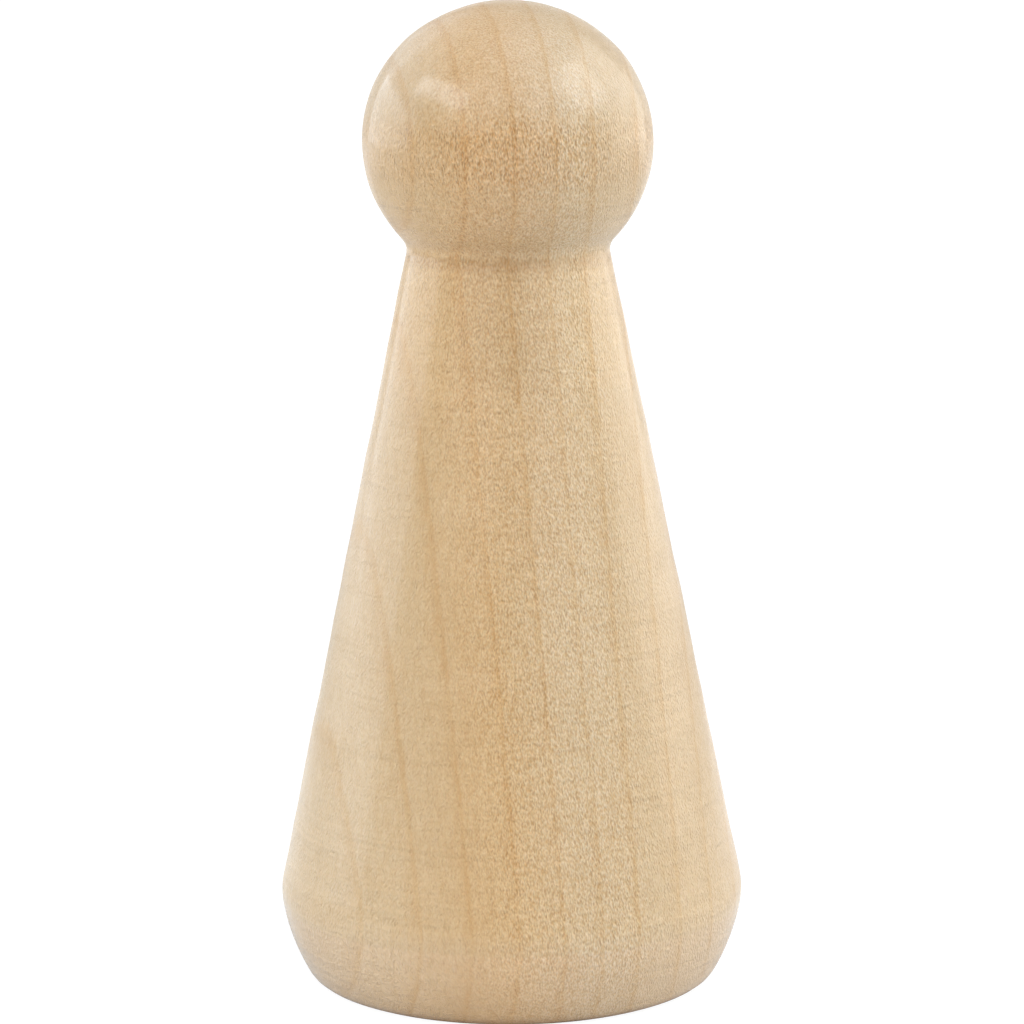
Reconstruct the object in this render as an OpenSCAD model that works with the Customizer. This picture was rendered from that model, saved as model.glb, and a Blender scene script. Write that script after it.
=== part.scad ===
// Turned wooden pawn: a round head, a narrow neck and a conical body with a
// rounded foot, all turned from one billet of wood. It has no separate pieces.
//
// Units are millimetres. Z is the turning axis and points up, and the origin is
// the centre of the flat base. The outline is a chain of arcs and one straight
// line that meet tangentially, spun around Z.

/* [Overall] */
// Height from the flat base to the top of the head
total_h = 60; // [54:0.5:72]

/* [Head] */
// Diameter of the head at its widest ring
head_d = 17.55; // [17:0.05:18]
// Height of the head above its widest ring
crown_rise = 8.375; // [8.1:0.025:8.6]
// Angle above the widest ring at which the shoulder arc gives way to the crown arc
shoulder_angle = 45; // [35:1:60]
// Radius of the arc from the widest ring of the head down to the neck
chin_r = 8.6; // [8:0.1:9.5]

/* [Neck] */
// Diameter at which the chin arc and the cone would meet in a sharp corner
neck_d = 12.15; // [10:0.05:14]
// Radius of the hollow arc that blends that corner
neck_blend_r = 0.95; // [0.3:0.05:2]

/* [Body] */
// Diameter of the body at its widest ring
body_d = 28.5; // [25:0.1:34]
// Height of the widest ring above the base
belly_h = 5.35; // [5:0.05:6.5]
// Radius of the arc over the widest ring
belly_r = 4.4; // [3:0.1:6]
// Angle below the widest ring at which the belly arc gives way to the under arc
belly_angle = 9.5; // [6:0.5:14]
// Radius of the arc that runs in from the belly towards the base
under_r = 12; // [9:0.5:16]
// Radius of the rounded edge around the flat base
base_edge_r = 1.2; // [0.4:0.1:2]

/* [Hidden] */

// Facets in a full turn, wherever a curve has to be drawn as facets
$fn = 180;

// Each point is [distance from the axis, height], and directions are in degrees
// from straight outwards, positive upwards.
function direction(angle) = [cos(angle), sin(angle)];

// Head: the shoulder arc is upright at the widest ring and shares a tangent with
// the crown arc, whose centre is on the axis.
head_r = head_d / 2;
head_z = total_h - crown_rise;
crown_share = (1 - sin(shoulder_angle)) / cos(shoulder_angle);
shoulder_r = (crown_rise - crown_share * head_r) / (1 - crown_share);
crown_r = shoulder_r + (head_r - shoulder_r) / cos(shoulder_angle);
shoulder_centre = [head_r - shoulder_r, head_z];
crown_centre = [0, total_h - crown_r];
chin_centre = [head_r - chin_r, head_z];

// Cone: it leaves the neck corner and touches the belly arc.
neck_r = neck_d / 2;
neck_z = head_z - sqrt(chin_r ^ 2 - (neck_r - chin_centre.x) ^ 2);
neck_corner = [neck_r, neck_z];
belly_centre = [body_d / 2 - belly_r, belly_h];
corner_to_belly = belly_centre - neck_corner;
cone_angle = atan2(corner_to_belly.y, corner_to_belly.x) + asin(belly_r / norm(corner_to_belly));
cone_down = direction(cone_angle);
cone_out_angle = cone_angle + 90;
cone_out = direction(cone_out_angle);

// Neck blend: its centre is one blend radius away from both the cone and the chin arc.
chin_to_line = neck_corner + neck_blend_r * cone_out - chin_centre;
along_cone = chin_to_line * cone_down;
centre_gap = chin_r + neck_blend_r;
blend_shift = sqrt(along_cone ^ 2 - chin_to_line * chin_to_line + centre_gap ^ 2) - along_cone;
blend_centre = neck_corner + neck_blend_r * cone_out + blend_shift * cone_down;
chin_to_blend = blend_centre - chin_centre;
chin_end_angle = atan2(chin_to_blend.y, chin_to_blend.x);

// Foot: the under arc starts where the belly arc ends, and runs into the base edge arc.
under_centre = belly_centre - (under_r - belly_r) * direction(-belly_angle);
under_end_angle = -asin((under_centre.y - base_edge_r) / (under_r - base_edge_r));
edge_centre = under_centre + (under_r - base_edge_r) * direction(under_end_angle);

// Points where one stretch of the outline meets the next, from the base upwards
base_rim = [edge_centre.x, 0];
edge_top = edge_centre + base_edge_r * direction(under_end_angle);
belly_bottom = belly_centre + belly_r * direction(-belly_angle);
cone_bottom = belly_centre + belly_r * cone_out;
cone_top = blend_centre - neck_blend_r * cone_out;
chin_bottom = chin_centre + chin_r * direction(chin_end_angle);
head_widest = [head_r, head_z];
shoulder_top = shoulder_centre + shoulder_r * direction(shoulder_angle);

// A slice of a disc, between two directions seen from its centre
module sector(centre, radius, from_angle, to_angle) {
    reach = 2 * radius;
    intersection() {
        translate(centre)
            circle(r = radius);
        polygon([centre, centre + reach * direction(from_angle), centre + reach * direction(to_angle)]);
    }
}

module body_outline() {
    polygon([[0, 0], base_rim, edge_top, belly_bottom, cone_bottom, cone_top, [0, cone_top.y]]);
    sector(edge_centre, base_edge_r, -90, under_end_angle);
    sector(under_centre, under_r, under_end_angle, -belly_angle);
    sector(belly_centre, belly_r, -belly_angle, cone_out_angle);
}

module neck_outline() {
    difference() {
        polygon([[0, cone_top.y], cone_top, blend_centre, chin_bottom, [0, chin_bottom.y]]);
        translate(blend_centre)
            circle(r = neck_blend_r);
    }
}

module head_outline() {
    polygon([[0, chin_bottom.y], chin_bottom, head_widest, shoulder_top, [0, total_h]]);
    sector(chin_centre, chin_r, chin_end_angle, 0);
    sector(shoulder_centre, shoulder_r, 0, shoulder_angle);
    sector(crown_centre, crown_r, shoulder_angle, 90);
}

// The right-hand half of the pawn's section. Slices whose centre lies beyond the
// axis are cut off at the axis.
module half_section() {
    intersection() {
        union() {
            body_outline();
            neck_outline();
            head_outline();
        }
        square([body_d, total_h]);
    }
}

// The whole pawn, in one piece
module turned_pawn() {
    color("burlywood")
        rotate_extrude()
            half_section();
}

turned_pawn();
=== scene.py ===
"""A turned wooden pawn on a pale studio floor.

The pawn is one piece of wood. Its outline repeats the arcs of the CAD model in
millimetres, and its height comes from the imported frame. Angles in the outline
are in degrees from straight outwards, positive upwards.
"""
import math

import bpy
import numpy as np
from mathutils import Matrix, Vector


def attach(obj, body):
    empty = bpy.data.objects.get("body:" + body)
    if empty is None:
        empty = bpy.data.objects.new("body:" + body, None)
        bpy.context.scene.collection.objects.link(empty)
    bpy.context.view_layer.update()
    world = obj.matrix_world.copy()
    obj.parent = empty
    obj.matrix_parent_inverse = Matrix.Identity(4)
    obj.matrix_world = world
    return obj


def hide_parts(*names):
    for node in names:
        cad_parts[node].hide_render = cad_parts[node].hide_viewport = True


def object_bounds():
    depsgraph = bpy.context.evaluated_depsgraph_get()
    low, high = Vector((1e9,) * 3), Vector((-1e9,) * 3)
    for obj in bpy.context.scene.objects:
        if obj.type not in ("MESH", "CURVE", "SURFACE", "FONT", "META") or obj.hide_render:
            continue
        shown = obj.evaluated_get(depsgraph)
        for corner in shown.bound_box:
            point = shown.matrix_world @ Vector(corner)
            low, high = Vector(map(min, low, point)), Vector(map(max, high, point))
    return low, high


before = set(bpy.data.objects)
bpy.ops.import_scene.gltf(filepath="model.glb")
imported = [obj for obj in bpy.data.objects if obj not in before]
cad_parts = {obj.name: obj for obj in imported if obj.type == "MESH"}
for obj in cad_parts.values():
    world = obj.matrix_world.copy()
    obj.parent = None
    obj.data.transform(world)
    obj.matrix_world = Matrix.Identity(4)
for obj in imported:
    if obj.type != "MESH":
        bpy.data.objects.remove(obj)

NODE = "turned_pawn"
MM = 0.001

cad_low, cad_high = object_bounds()

# ---------------------------------------------------------------- the outline

TOTAL_H = cad_high.z / MM
BODY_R = 28.5 / 2
HEAD_R = 17.55 / 2
CROWN_RISE = 8.375
SHOULDER_ANGLE = 45.0
CHIN_R = 8.6
NECK_R = 12.15 / 2
NECK_BLEND_R = 0.95
BELLY_H = 5.35
BELLY_R = 4.4
BELLY_ANGLE = 9.5
UNDER_R = 12.0
BASE_EDGE_R = 1.2

# Distances between rings of the mesh along the outline, segments in a full turn, and the
# free edge around the UV map
BASE_STEP = 1.2
BODY_STEP = 0.3
CROWN_STEP = 0.15
SEGMENTS = 256
UV_MARGIN = 0.004

# Shallow rings that the lathe tool left around the crown, as (radius, depth)
TOOL_RINGS = [(1.2, 0.010), (2.9, 0.008), (4.3, 0.012)]
TOOL_RING_WIDTH = 0.18

# Gentle lumps that hand sanding leaves: (depth, length along the outline, lumps per turn)
LUMPS = [(0.006, 3.4, 1), (0.008, 5.7, 3), (0.012, 9.1, 2), (0.010, 14.0, 5)]
LUMP_FADE = 3.0
LUMP_SEED = 5


def direction(angle):
    """A unit vector in the (radius, height) plane."""
    return Vector((math.cos(math.radians(angle)), math.sin(math.radians(angle))))


def angle_of(v):
    return math.degrees(math.atan2(v.y, v.x))


def arc(centre, radius, start, end, step=BODY_STEP):
    """Points along an arc, without its last point."""
    steps = max(3, round(abs(math.radians(end - start)) * radius / step))
    return [centre + radius * direction(start + (end - start) * i / steps) for i in range(steps)]


def line(start, end, step=BODY_STEP):
    """Points along a straight stretch, without its last point."""
    steps = max(3, round((end - start).length / step))
    return [start.lerp(end, i / steps) for i in range(steps)]


def outline():
    """(radius, height) points in millimetres, from the centre of the base to the top of the head."""
    head_z = TOTAL_H - CROWN_RISE
    share = (1 - direction(SHOULDER_ANGLE).y) / direction(SHOULDER_ANGLE).x
    shoulder_r = (CROWN_RISE - share * HEAD_R) / (1 - share)
    crown_r = shoulder_r + (HEAD_R - shoulder_r) / direction(SHOULDER_ANGLE).x
    shoulder_centre = Vector((HEAD_R - shoulder_r, head_z))
    crown_centre = Vector((0, TOTAL_H - crown_r))
    chin_centre = Vector((HEAD_R - CHIN_R, head_z))

    neck_z = head_z - math.sqrt(CHIN_R ** 2 - (NECK_R - chin_centre.x) ** 2)
    neck_corner = Vector((NECK_R, neck_z))
    belly_centre = Vector((BODY_R - BELLY_R, BELLY_H))
    to_belly = belly_centre - neck_corner
    cone_angle = angle_of(to_belly) + math.degrees(math.asin(BELLY_R / to_belly.length))
    cone_down = direction(cone_angle)
    cone_out = direction(cone_angle + 90)

    beside = neck_corner + NECK_BLEND_R * cone_out - chin_centre
    along = beside.dot(cone_down)
    gap = CHIN_R + NECK_BLEND_R
    shift = math.sqrt(along ** 2 - beside.length_squared + gap ** 2) - along
    blend_centre = neck_corner + NECK_BLEND_R * cone_out + shift * cone_down
    chin_end = angle_of(blend_centre - chin_centre)

    under_centre = belly_centre - (UNDER_R - BELLY_R) * direction(-BELLY_ANGLE)
    under_end = -math.degrees(math.asin((under_centre.y - BASE_EDGE_R) / (UNDER_R - BASE_EDGE_R)))
    edge_centre = under_centre + (UNDER_R - BASE_EDGE_R) * direction(under_end)

    points = line(Vector((0, 0)), Vector((edge_centre.x, 0)), BASE_STEP)
    points += arc(edge_centre, BASE_EDGE_R, -90, under_end)
    points += arc(under_centre, UNDER_R, under_end, -BELLY_ANGLE)
    points += arc(belly_centre, BELLY_R, -BELLY_ANGLE, cone_angle + 90)
    points += line(belly_centre + BELLY_R * cone_out, blend_centre - NECK_BLEND_R * cone_out)
    points += arc(blend_centre, NECK_BLEND_R, cone_angle + 270, chin_end + 180)
    points += arc(chin_centre, CHIN_R, chin_end, 0)
    points += arc(shoulder_centre, shoulder_r, 0, SHOULDER_ANGLE)
    points += arc(crown_centre, crown_r, SHOULDER_ANGLE, 90, CROWN_STEP)
    points.append(Vector((0, TOTAL_H)))
    return np.array([tuple(p) for p in points])


# ------------------------------------------------------------------ the pawn


def outward_normals(points):
    """Unit normals of the outline in the (radius, height) plane."""
    tangent = np.gradient(points, axis=0)
    tangent /= np.linalg.norm(tangent, axis=1, keepdims=True)
    return np.stack([tangent[:, 1], -tangent[:, 0]], axis=1)


def lengths_along(points):
    """Distance from the centre of the base to each point, along the outline."""
    return np.concatenate([[0], np.cumsum(np.linalg.norm(np.diff(points, axis=0), axis=1))])


def surface_relief(points, turns):
    """How far each mesh point stands proud of the outline, in millimetres: lumps and tool rings."""
    radius, height = points[:, 0], points[:, 1]
    along = lengths_along(points)[:, None]
    phases = np.random.default_rng(LUMP_SEED).uniform(0, 2 * math.pi, len(LUMPS))
    relief = np.zeros((len(points), len(turns)))
    for (depth, length, count), phase in zip(LUMPS, phases):
        relief += depth * np.cos(2 * math.pi * along / length + count * turns + phase)
    relief *= np.clip(height / LUMP_FADE, 0, 1)[:, None] * np.clip(radius / LUMP_FADE, 0, 1)[:, None]

    on_crown = height > TOTAL_H - CROWN_RISE
    for ring_r, depth in TOOL_RINGS:
        groove = -depth * np.exp(-(((radius - ring_r) / TOOL_RING_WIDTH) ** 2))
        relief += (groove * on_crown)[:, None]
    return relief


def turned_faces(top):
    """Faces as lists of (ring, turn) corners, from the centre of the base at ring 0 to ring top."""
    faces = []
    for ring in range(top):
        for turn in range(SEGMENTS):
            face = [(ring, turn), (ring + 1, turn), (ring + 1, turn + 1), (ring, turn + 1)]
            if ring == 0:
                face = [(0, turn + 0.5), (1, turn), (1, turn + 1)]
            if ring == top - 1:
                face = [(ring, turn), (top, turn + 0.5), (ring, turn + 1)]
            faces.append(face)
    return faces


def turned_mesh(points):
    """A closed mesh of revolution from (radius, height) points in millimetres, in metres."""
    turns = np.linspace(0, 2 * math.pi, SEGMENTS, endpoint=False)
    relief = surface_relief(points, turns)[..., None]
    shape = points[:, None] + relief * outward_normals(points)[:, None]
    radii, heights = shape[..., 0], shape[..., 1]
    # The first segment starts at the back, so that the seam of the UV map is there.
    grid = np.stack([radii * np.sin(turns), radii * np.cos(turns), heights], axis=-1)[1:-1] * MM
    bottom, top_point = (0, 0, points[0, 1] * MM), (0, 0, points[-1, 1] * MM)
    verts = [bottom, *map(tuple, grid.reshape(-1, 3)), top_point]
    top = len(points) - 1
    corners = turned_faces(top)

    def vertex(ring, turn):
        if ring in (0, top):
            return 0 if ring == 0 else len(verts) - 1
        return 1 + (ring - 1) * SEGMENTS + turn % SEGMENTS

    mesh = bpy.data.meshes.new(NODE)
    mesh.from_pydata(verts, [], [[vertex(*corner) for corner in face] for face in corners])
    mesh.shade_smooth()

    share_along = lengths_along(points) / lengths_along(points)[-1]
    unrolled = [(turn / SEGMENTS, share_along[ring]) for face in corners for ring, turn in face]
    uv_map = mesh.uv_layers.new(name="OFBake")
    uv_map.uv.foreach_set("vector", (UV_MARGIN + (1 - 2 * UV_MARGIN) * np.array(unrolled)).ravel())
    return mesh


def make_pawn():
    pawn = bpy.data.objects.new("pawn", turned_mesh(outline()))
    bpy.context.scene.collection.objects.link(pawn)
    pawn.data.materials.append(wood_material())
    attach(pawn, "root")
    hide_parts(NODE)


# ------------------------------------------------------------------ materials


class Graph:
    """A node tree, with short calls that add a node and link or set its inputs."""

    def __init__(self, tree):
        self.tree = tree

    def put(self, socket, value):
        if isinstance(value, bpy.types.NodeSocket):
            self.tree.links.new(value, socket)
        elif socket.type == "RGBA":
            socket.default_value = (*value, 1.0)
        else:
            socket.default_value = value

    def add(self, kind, inputs, output=0, **settings):
        node = self.tree.nodes.new(kind)
        for name, value in settings.items():
            setattr(node, name, value)
        for key, value in inputs.items():
            self.put(node.inputs[key], value)
        return node.outputs[output]

    def math(self, operation, *values):
        return self.add("ShaderNodeMath", dict(enumerate(values)), operation=operation)

    def total(self, *values):
        """The sum of (weight, value) pairs."""
        terms = [self.math("MULTIPLY", value, weight) for weight, value in values]
        result = terms[0]
        for term in terms[1:]:
            result = self.math("ADD", result, term)
        return result

    def vector(self, operation, *values, output="Vector"):
        return self.add("ShaderNodeVectorMath", dict(enumerate(values)), output, operation=operation)

    def combine(self, x, y, z):
        return self.add("ShaderNodeCombineXYZ", {0: x, 1: y, 2: z})

    def split(self, vector):
        return self.add("ShaderNodeSeparateXYZ", {0: vector}).node.outputs

    def noise(self, vector, stretch, detail=0.0):
        """Noise from -1 to 1 or so, with stretch cells per unit along each axis."""
        place = self.vector("MULTIPLY", vector, stretch)
        inputs = {"Vector": place, "Scale": 1.0, "Detail": detail, "Roughness": 0.5}
        value = self.add("ShaderNodeTexNoise", inputs, "Fac")
        return self.math("MULTIPLY_ADD", value, 4.0, -2.0)

    def ramp(self, value, low, high, to_low=0.0, to_high=1.0):
        """A smooth step from to_low at low to to_high at high."""
        inputs = {"Value": value, "From Min": low, "From Max": high, "To Min": to_low, "To Max": to_high}
        return self.add("ShaderNodeMapRange", inputs, interpolation_type="SMOOTHSTEP")

    def near(self, value, zone, inside=1.0, outside=0.0):
        """inside where value lies well in the zone, changing smoothly to outside beyond it."""
        middle, inner, outer = zone
        distance = self.math("ABSOLUTE", self.math("SUBTRACT", value, middle))
        return self.ramp(distance, inner, outer, inside, outside)

    def blend(self, mode, factor, a, b):
        """Colour a changed by colour b, in the given blend mode."""
        node = self.tree.nodes.new("ShaderNodeMix")
        node.data_type = "RGBA"
        node.blend_type = mode
        # A Mix node keeps a set of sockets for each data type. These are the colour ones.
        for socket, value in zip((node.inputs[0], node.inputs[6], node.inputs[7]), (factor, a, b)):
            self.put(socket, value)
        return node.outputs[2]


def new_material(name):
    """A new material, the graph of its nodes and its shader."""
    material = bpy.data.materials.new(name)
    material.use_nodes = True
    return material, Graph(material.node_tree), material.node_tree.nodes["Principled BSDF"]


# Growth rings: nearly flat upright sheets, in millimetres. Their slope against X
# eases with the square of the height, and they lie closer together around RING_PINCH_AT.
RING_SPACING = 2.78
RING_START = -12.75
RING_SLOPE = 0.350
RING_SLOPE_EASE = -0.000041
RING_PINCH = 0.55
RING_PINCH_AT = 2.8
RING_PINCH_WIDTH = 2.5
RING_DRIFT = 0.06
RING_WAVER = 0.05
RING_BREAKS = 0.35

# The phase of a ring runs from 0 to 1, with its dark line at 0.5. RINGS_BEFORE keeps it positive.
# The line darkens slowly over LATE_BODY, quickly over LATE_EDGE, and ends over LATE_END.
RINGS_BEFORE = 20.0
LINE_PHASE = 0.5
LATE_BODY = (0.20, 0.50)
LATE_EDGE = (0.40, 0.485)
LATE_END = (0.49, 0.56)

# Ranges of height over which something sets in, in millimetres above the base
BASE_RIM = (0.1, 0.6)
FOOT_GRAIN = (1.5, 4.5)
FOOT = (4.65, 5.0)
THICK_VARNISH = (4.6, 6.0)
UPPER_BODY = (20.0, 50.0)
HEAD_LINES = (44.0, 50.0)
CHIN_TURNING = (47.5, 50.5)
CROWN = (52.0, 55.0)
CROWN_GRAIN = (53.0, 56.0)
CROWN_TURNING = (56.0, 58.5)

# Zones of height as (middle, half the width at full strength, half the width in all)
FLANK = (8.5, 2.0, 4.0)
NECK = (41.5, 2.5, 6.0)
CREASE = (44.7, 0.1, 0.7)
CHIN = (48.0, 1.0, 2.2)
TORN_BAND = (51.3, 1.0, 2.5)

# Zones of distance across the rings, and the distances between which the first rings give way
HEARTWOOD = (-5.8, 0.0, 7.2)
DEEP_RINGS = (-2.0, 1.0, 5.0)
COARSE_RINGS = (-1.0, 3.0, 7.0)
FIRST_RINGS = (-11.0, -5.0)

# Colours of the wood, and the tints that multiply them. The neck, crease, base rim, foot and crown tints are
# painted light, shade and reflection, not colours of the wood.
PALE_WOOD = (0.575, 0.430, 0.264)
FIRST_WOOD = (0.618, 0.446, 0.262)
HEART_COLOUR = (0.600, 0.400, 0.204)
LATE_TINT = (0.95, 0.885, 0.79)
DEEP_TINT = (1.03, 0.965, 0.90)
# Painted light on the sides of the neck and painted shade down its middle, below the head
NECK_PAINTED_LIGHT = (1.05, 1.05, 1.05)
NECK_PAINTED_SHADE = (0.88, 0.885, 0.88)
# Painted shade in the crease under the head
CREASE_PAINTED_SHADE = (0.89, 0.86, 0.83)
# Painted contact shadow, dark and warm, along the rim of the base where it meets the floor
BASE_RIM_PAINTED_SHADOW = (0.88, 0.77, 0.66)
# Painted reflection of the pale floor in the varnish, which makes the foot paler
FOOT_PAINTED_REFLECTION = (1.06, 1.05, 1.08)
TORN_TINT = (1.05, 1.02, 1.0)
# Painted cool light on the crown, where cool light from above falls
CROWN_PAINTED_COOL_LIGHT = (0.96, 1.0, 1.09)

# Fine grain: cells per millimetre along X, Y and Z, and the strength in coarse and in fine wood
FIBRE_CELLS = (9.5, 9.5, 4.4)
PORE_CELLS = (15.0, 15.0, 6.2)
GRAIN_SLANT = 0.03
COARSE_GRAIN = 0.102
FINE_GRAIN = 0.034
BUMP_DEPTH = 0.045


def ring_coordinate(g, mm, x, y, z):
    """Distance across the growth rings, in millimetres."""
    slope = g.math("MULTIPLY_ADD", g.math("MULTIPLY", z, z), RING_SLOPE_EASE, RING_SLOPE)
    across = g.math("MULTIPLY_ADD", y, slope, x)
    drift = g.noise(mm, (0.25, 0.25, 0.10))
    waver = g.noise(mm, (1.5, 1.5, 0.6), 1.0)
    return g.math("ADD", across, g.total((RING_DRIFT, drift), (RING_WAVER, waver)))


def late_wood(g, mm, z, across):
    """The dark line that ends a growth ring, fading out towards the ring's early wood."""
    from_pinch = g.math("DIVIDE", g.math("SUBTRACT", across, RING_PINCH_AT), RING_PINCH_WIDTH)
    pinch = g.math("EXPONENT", g.math("MULTIPLY", g.math("MULTIPLY", from_pinch, from_pinch), -1.0))
    place = g.math("MULTIPLY_ADD", pinch, RING_PINCH, g.math("SUBTRACT", across, RING_START))
    phase = g.math("FRACT", g.math("ADD", g.math("DIVIDE", place, RING_SPACING), RINGS_BEFORE + LINE_PHASE))
    rise = g.math("ADD", g.ramp(phase, *LATE_BODY, 0.0, 0.5), g.ramp(phase, *LATE_EDGE, 0.0, 0.5))
    dark_line = g.math("MULTIPLY", rise, g.ramp(phase, *LATE_END, 1.0, 0.0))
    broken = g.math("MULTIPLY_ADD", g.noise(mm, (0.5, 0.5, 0.35), 2.0), RING_BREAKS, 1.0)
    return g.math("MULTIPLY", g.math("MULTIPLY", dark_line, broken), g.ramp(z, *HEAD_LINES, 0.88, 1.2))


def wood_tone(g, z, across, late):
    """The colour of the wood without its fine grain, with painted light and shade on the neck, painted shade
    in the crease and along the base rim, a painted reflection on the foot and painted cool light on the
    crown.
    """
    pale = g.blend("MIX", g.ramp(across, *FIRST_RINGS, 1.0, 0.0), PALE_WOOD, FIRST_WOOD)
    tone = g.blend("MIX", g.near(across, HEARTWOOD), pale, HEART_COLOUR)
    deep = g.near(across, DEEP_RINGS)
    neck = g.near(z, NECK)
    tints = [
        (late, LATE_TINT),
        (g.math("MULTIPLY", deep, g.ramp(z, *UPPER_BODY)), DEEP_TINT),
        # Painted light on the sides of the neck and painted shade down its middle, below the head
        (neck, NECK_PAINTED_LIGHT),
        (g.math("MULTIPLY", deep, neck), NECK_PAINTED_SHADE),
        # Painted shade in the crease under the head
        (g.near(z, CREASE), CREASE_PAINTED_SHADE),
        # Painted contact shadow, dark and warm, along the rim of the base
        (g.ramp(z, *BASE_RIM, 1.0, 0.0), BASE_RIM_PAINTED_SHADOW),
        # Painted reflection of the pale floor in the varnish, which makes the foot paler
        (g.ramp(z, *FOOT, 1.0, 0.0), FOOT_PAINTED_REFLECTION),
        (g.near(z, TORN_BAND), TORN_TINT),
        # Painted cool light on the crown
        (g.ramp(z, *CROWN), CROWN_PAINTED_COOL_LIGHT),
    ]
    for share, tint in tints:
        tone = g.blend("MULTIPLY", share, tone, tint)
    return tone


def roughening(g, z):
    """How strong the fine grain is at a height: smoother crown and foot, torn fibres around the head."""
    smooth = g.math("ADD", g.ramp(z, *CROWN_GRAIN, 1.0, 0.72), g.ramp(z, *FOOT_GRAIN, -0.2, 0.0))
    return g.math("MULTIPLY_ADD", g.near(z, TORN_BAND), 0.45, smooth)


def lathe_lines(g, mm, z, across):
    """Faint lines around the axis, under the chin and low on the side where the first rings are."""
    flank = g.math("MULTIPLY", g.ramp(across, *FIRST_RINGS, 1.0, 0.0), g.near(z, FLANK, 0.03))
    strength = g.math("ADD", g.near(z, CHIN, 0.022), flank)
    return g.math("MULTIPLY", g.noise(mm, (0.12, 0.12, 4.5)), strength)


def grain_tint(g, mm, z, across, fibre, pores, rough):
    """Fine light and dark flecks, streaks and clouds, as a tint around 1, with painted light that brightens
    the upper body towards the head.
    """
    coarse = g.math("MULTIPLY", g.near(across, COARSE_RINGS, COARSE_GRAIN, FINE_GRAIN), rough)
    grain = g.math("MULTIPLY", g.math("ADD", fibre, pores), coarse)
    fleck = g.math("MULTIPLY", g.math("SUBTRACT", fibre, pores), coarse)
    streak = g.noise(mm, (3.2, 3.2, 0.4), 2.0)
    mottle = g.noise(mm, (0.25, 0.25, 0.12), 2.0)
    # Painted light: the wood is made brighter towards the head
    painted_light_towards_head = g.ramp(z, *UPPER_BODY)
    lathe = lathe_lines(g, mm, z, across)
    light = g.total((1.0, grain), (0.03, streak), (0.012, mottle), (0.02, painted_light_towards_head), (1.0, lathe))
    warmth = g.total((0.6, grain), (0.8, fleck), (0.05, streak), (0.03, mottle))
    green = g.total((1.0, light), (0.5, warmth))
    blue = g.total((1.0, light), (1.2, warmth))
    return g.vector("ADD", g.combine(light, green, blue), (1.0, 1.0, 1.0))


def grain_bump(g, mm, z, fibre, pores, rough):
    """The surface normal over the fine grain and over the soft ridges that turning leaves."""
    grain = g.math("MULTIPLY", g.total((0.6, fibre), (0.4, pores)), rough)
    ridges = g.noise(mm, (0.15, 0.15, 2.0), 1.0)
    turned = g.math("ADD", g.ramp(z, *CHIN_TURNING, 0.9, 0.0), g.ramp(z, *CROWN_TURNING, 0.0, 0.7))
    height = g.math("ADD", grain, g.math("MULTIPLY", ridges, turned))
    return g.add("ShaderNodeBump", {"Strength": 1.0, "Distance": BUMP_DEPTH * MM, "Height": height}, "Normal")


def wood_material():
    """Pale close-grained hardwood under a thin satin varnish, as a solid texture in millimetres."""
    material, g, shader = new_material("turned_wood")
    mm = g.vector("MULTIPLY", g.add("ShaderNodeTexCoord", {}, "Object"), (1 / MM,) * 3)
    x, y, z = g.split(mm)
    across = ring_coordinate(g, mm, x, y, z)
    slanted = g.combine(g.math("MULTIPLY_ADD", z, GRAIN_SLANT, x), y, z)
    fibre = g.noise(slanted, FIBRE_CELLS)
    pores = g.noise(slanted, PORE_CELLS)
    rough = roughening(g, z)

    tone = wood_tone(g, z, across, late_wood(g, mm, z, across))
    tint = grain_tint(g, mm, z, across, fibre, pores, rough)
    g.put(shader.inputs["Base Color"], g.blend("MULTIPLY", 1.0, tone, tint))
    g.put(shader.inputs["Normal"], grain_bump(g, mm, z, fibre, pores, rough))
    g.put(shader.inputs["Roughness"], g.math("MULTIPLY_ADD", fibre, 0.03, 0.42))
    g.put(shader.inputs["Coat Weight"], g.ramp(z, *THICK_VARNISH, 1.0, 0.5))
    g.put(shader.inputs["Coat Roughness"], 0.15)
    g.put(shader.inputs["IOR"], 1.5)
    g.put(shader.inputs["Specular IOR Level"], 0.15)
    g.put(shader.inputs["Sheen Weight"], 0.02)
    return material


# --------------------------------------------------------------------- studio

WHITE = (1.0, 1.0, 1.0)

# The floor, in metres: a pale sheet on a greyer table, which glows softly behind the pawn
# as a lit backdrop does. Each range runs from where a change starts to where it ends.
FLOOR_SIZE = 8.0
FOOT_SHADE_RANGE = (0.0117, 0.026)
FOOT_SHADE = 0.4
SHEET_RANGE = (0.07, 0.14)
SHEET_COLOUR = (0.82, 0.82, 0.82)
TABLE_COLOUR = (0.48, 0.48, 0.48)
GLOW_RANGE = (0.10, 0.30)
FLOOR_GLOW = 0.04
FLOOR_GLOW_BEHIND = 0.7

# How far the floor is bleached to white for the camera, near the pawn and far from it
BLEACH_RANGE = (0.05, 0.35)
BLEACH_NEAR = 0.86
BLEACH_FAR = 0.97
BLEACH_WHITE = 1.1

# The room's light, which is brighter low behind the pawn, and the backdrop that the camera sees
ROOM_LIGHT = 0.22
ROOM_LIGHT_BEHIND = 0.9
BEHIND = (0.0, 1.0, -0.6)
BEHIND_RANGE = (0.5, 0.95)
BACKDROP_WHITE = 1.0

LIGHT_DISTANCE = 0.6
COOL = (0.88, 1.0, 1.14)
WARM = (1.03, 1.0, 0.95)

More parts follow.
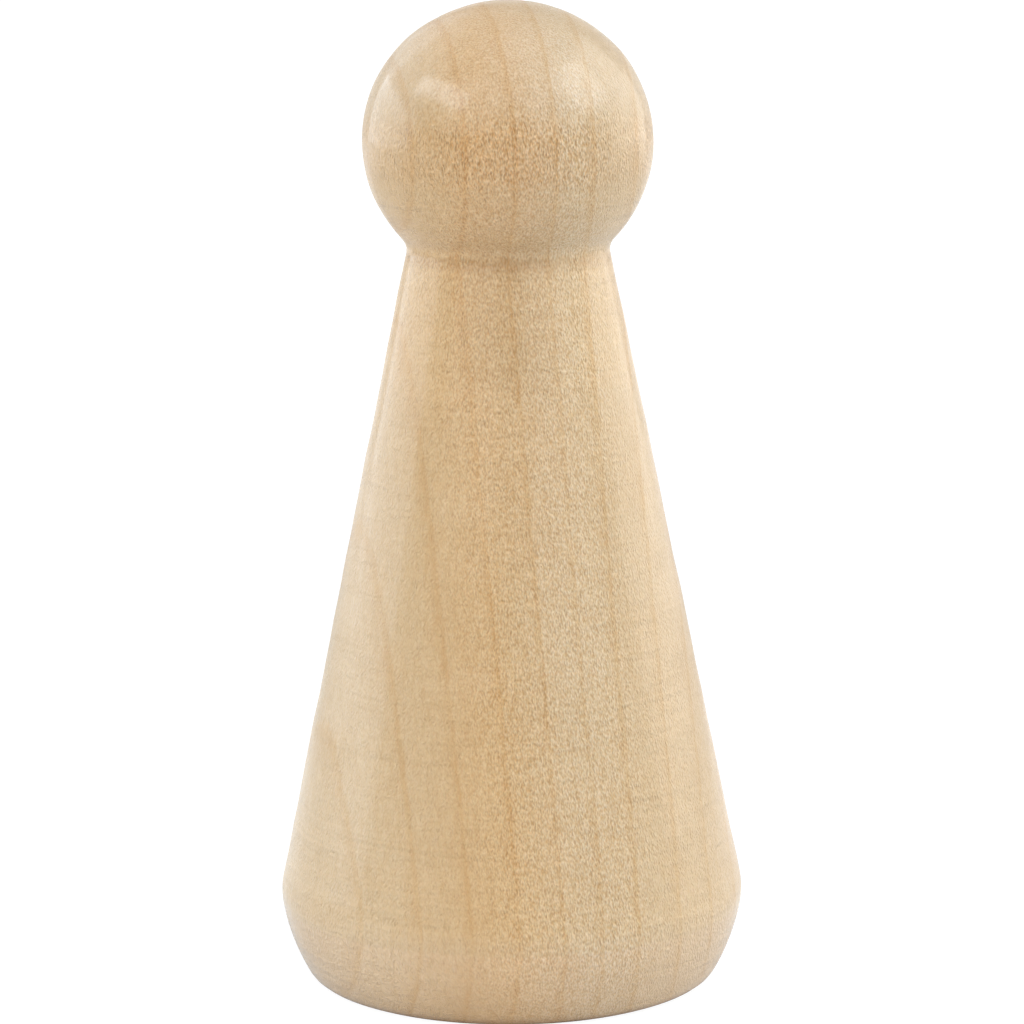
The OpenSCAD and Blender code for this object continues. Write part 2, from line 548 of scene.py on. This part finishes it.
# name, azimuth from the camera's side (positive to the right), elevation, width, height, colour,
# and the brightness that it gives a white surface that faces it
SOFTBOXES = [
    ("key_right", 80, 42, 0.32, 0.36, WHITE, 0.33),
    ("wash_right", 98, 38, 0.80, 0.34, WARM, 0.46),
    ("top_right", 90, 68, 0.60, 0.50, COOL, 0.12),
    ("low_right", 115, 10, 0.60, 0.26, WARM, 0.28),
    ("front_right", 40, 30, 0.50, 0.50, WARM, 0.26),
    ("top", 0, 89, 0.30, 0.30, COOL, 0.04),
    ("front_left", -35, 34, 0.50, 0.50, WARM, 0.35),
    ("key_left", -68, 39.5, 0.52, 0.14, COOL, 0.33),
    ("rear_left", -115, 38, 0.60, 0.50, COOL, 0.24),
    ("low_left", -112, 10, 0.70, 0.26, COOL, 0.35),
    ("back_left", -150, 30, 0.30, 0.30, COOL, 0.08),
]


def floor_material():
    """A matt pale floor. The camera sees it bleached, which leaves only a faint shadow."""
    material, g, shader = new_material("pale_floor")
    place = g.add("ShaderNodeTexCoord", {}, "Object")
    away = g.vector("LENGTH", place, output="Value")
    foot_shade = g.ramp(away, *FOOT_SHADE_RANGE, FOOT_SHADE)
    sheet = g.math("MULTIPLY", g.ramp(away, *SHEET_RANGE, 1.0, 0.0), foot_shade)
    glow = g.ramp(g.split(place)["Y"], *GLOW_RANGE, FLOOR_GLOW, FLOOR_GLOW_BEHIND)
    g.put(shader.inputs["Base Color"], g.blend("MIX", sheet, TABLE_COLOUR, SHEET_COLOUR))
    g.put(shader.inputs["Emission Color"], WHITE)
    g.put(shader.inputs["Emission Strength"], glow)
    g.put(shader.inputs["Roughness"], 0.9)
    g.put(shader.inputs["Specular IOR Level"], 0.0)

    seen = g.add("ShaderNodeLightPath", {}, "Is Camera Ray")
    share = g.math("MULTIPLY", seen, g.ramp(away, *BLEACH_RANGE, BLEACH_NEAR, BLEACH_FAR))
    white = g.add("ShaderNodeEmission", {"Strength": BLEACH_WHITE})
    surface = g.add("ShaderNodeMixShader", {0: share, 1: shader.outputs[0], 2: white})
    g.put(g.tree.nodes["Material Output"].inputs["Surface"], surface)
    return material


def make_floor():
    half = FLOOR_SIZE / 2
    corners = [(-half, -half, 0), (half, -half, 0), (half, half, 0), (-half, half, 0)]
    mesh = bpy.data.meshes.new("floor")
    mesh.from_pydata(corners, [], [(0, 1, 2, 3)])
    mesh.materials.append(floor_material())
    floor = bpy.data.objects.new("floor", mesh)
    bpy.context.scene.collection.objects.link(floor)


def make_softbox(name, azimuth, elevation, width, height, colour, brightness):
    """A soft area light at LIGHT_DISTANCE from the middle of the pawn, which it faces."""
    turn, rise = math.radians(azimuth), math.radians(elevation)
    outward = Vector((math.sin(turn) * math.cos(rise), -math.cos(turn) * math.cos(rise), math.sin(rise)))
    data = bpy.data.lights.new(name, "AREA")
    data.shape = "RECTANGLE"
    data.size, data.size_y = width, height
    data.color = colour
    data.energy = brightness * math.pi ** 2 * LIGHT_DISTANCE ** 2
    lamp = bpy.data.objects.new(name, data)
    lamp.location = (cad_low + cad_high) / 2 + LIGHT_DISTANCE * outward
    lamp.rotation_euler = outward.to_track_quat("Z", "Y").to_euler()
    bpy.context.scene.collection.objects.link(lamp)


def make_world():
    """A dim white room, brighter low behind the pawn, with a white backdrop for the camera."""
    world = bpy.data.worlds.new("studio")
    world.use_nodes = True
    g = Graph(world.node_tree)
    facing = g.vector("DOT_PRODUCT", g.add("ShaderNodeTexCoord", {}, "Generated"), BEHIND, output="Value")
    room = g.ramp(facing, *BEHIND_RANGE, ROOM_LIGHT, ROOM_LIGHT_BEHIND)
    seen = g.add("ShaderNodeLightPath", {}, "Is Camera Ray")
    strength = g.add("ShaderNodeMapRange", {"Value": seen, "To Min": room, "To Max": BACKDROP_WHITE})
    background = g.tree.nodes["Background"]
    g.put(background.inputs["Color"], WHITE)
    g.put(background.inputs["Strength"], strength)
    bpy.context.scene.world = world


# The camera looks along +Y from in front of the axis: places in millimetres, angles in radians
CAMERA_DISTANCE = 236.05
CAMERA_HEIGHT = 70.91
CAMERA_DOWN = 0.17624
CAMERA_TURN = -0.000594
CAMERA_ROLL = -0.00538
CAMERA_LENS = 137.72
SENSOR = 36.0


def make_camera():
    data = bpy.data.cameras.new("camera")
    data.lens = CAMERA_LENS
    data.sensor_width = SENSOR
    data.clip_start, data.clip_end = 0.01, 20
    place = Matrix.Translation((0, -CAMERA_DISTANCE * MM, CAMERA_HEIGHT * MM))
    turn = Matrix.Rotation(CAMERA_TURN, 4, "Z")
    tilt = Matrix.Rotation(math.pi / 2 - CAMERA_DOWN, 4, "X")
    roll = Matrix.Rotation(CAMERA_ROLL, 4, "Z")
    camera = bpy.data.objects.new("camera", data)
    camera.matrix_world = place @ turn @ tilt @ roll
    bpy.context.scene.collection.objects.link(camera)
    bpy.context.scene.camera = camera


make_camera()
make_world()
for softbox in SOFTBOXES:
    make_softbox(*softbox)
make_floor()
make_pawn()

bpy.context.scene.view_settings.view_transform = "Standard"
